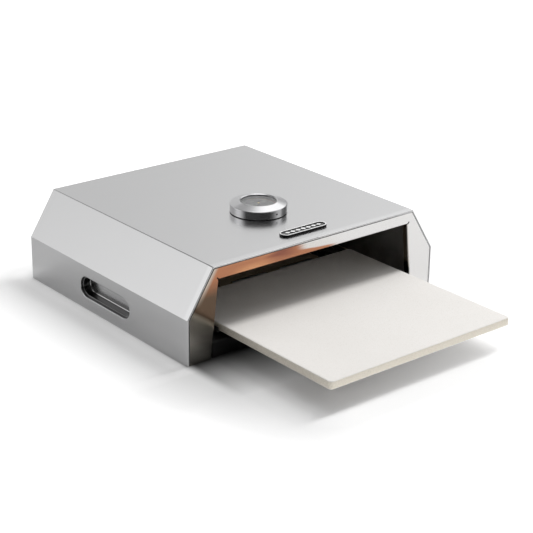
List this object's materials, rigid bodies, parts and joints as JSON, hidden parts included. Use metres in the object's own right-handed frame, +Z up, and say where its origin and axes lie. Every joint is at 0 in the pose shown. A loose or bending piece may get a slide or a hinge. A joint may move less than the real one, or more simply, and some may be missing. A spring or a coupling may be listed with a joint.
{
  "type": "countertop pizza oven",
  "caption": "Low box-shaped pizza oven with bevelled sides, an open front, a sliding square baking stone, recessed side grips and a dial thermometer on top.",
  "frame": {"origin": "middle of the whole footprint at rest, with the stone drawn out, on the plane the casing's feet rest on; the casing's own middle is 94 mm behind it", "axes": "+Z up; the mouth faces -Y; +X is to the right of somebody standing in front of the mouth"},
  "size_m": [0.4, 0.542, 0.1332],
  "materials": {
    "casing_steel": "satin, fine directional grain",
    "frame_steel": "polished, faint copper heat tint on part of the lintel",
    "rear_steel": "satin",
    "grip_steel": "pressed, satin",
    "base_steel": "heat-resistant matt black",
    "liner_steel": "heat-darkened matt steel",
    "rail_steel": "dulled by heat",
    "zinc_steel": "zinc-plated",
    "stone": "matt, fine pores",
    "bezel_chrome": "bright",
    "gauge_metal": "bare",
    "gauge_glass": "clear",
    "dial_face": "matt grey with a printed scale",
    "pointer_black": "matt black",
    "black_rubber": "matt silicone",
    "brass": "bare",
    "nameplate_black": "gloss black",
    "nameplate_bright": "bright"
  },
  "bodies": {
    "oven": {"outer_shell": "casing_steel", "front_frame": "frame_steel", "rear_panel": "rear_steel", "rear_panel_screws": "zinc_steel", "grip_cup_left": "grip_steel", "grip_cup_right": "grip_steel", "base_plate": "base_steel", "base_studs": "zinc_steel", "base_nuts": "zinc_steel", "inner_liner": "liner_steel", "liner_rear_wall": "liner_steel", "liner_rivets": "zinc_steel", "stone_rail_left": "rail_steel", "stone_rail_right": "rail_steel", "stone_stop": "rail_steel", "rail_rivets": "zinc_steel", "thermometer_bezel": "bezel_chrome", "thermometer_body": "gauge_metal", "thermometer_glass": "gauge_glass", "thermometer_spacer_ring": "black_rubber", "thermometer_dial": "dial_face", "thermometer_bush": "brass", "thermometer_stem": "gauge_metal", "bimetal_coil": "brass", "thermometer_gasket": "black_rubber", "thermometer_washer": "zinc_steel", "thermometer_nut": "zinc_steel", "nameplate_plate": "nameplate_black", "nameplate_rim": "nameplate_bright", "nameplate_emblem": "nameplate_bright", "nameplate_push_nuts": "zinc_steel"},
    "stone": {"pizza_stone": "stone"},
    "pointer": {"thermometer_pointer": "pointer_black", "thermometer_spindle": "gauge_metal"}
  },
  "joints": [
    {"name": "stone_slide", "type": "slide", "parent": "oven", "child": "stone", "axis": [0, -1, 0], "range_m": [-0.2, 0.11]},
    {"name": "pointer_turn", "type": "hinge", "parent": "oven", "child": "pointer", "pos_m": [0, 0.036, 0.1276], "axis": [0, 0, -1], "range_deg": [0, 270]}
  ]
}
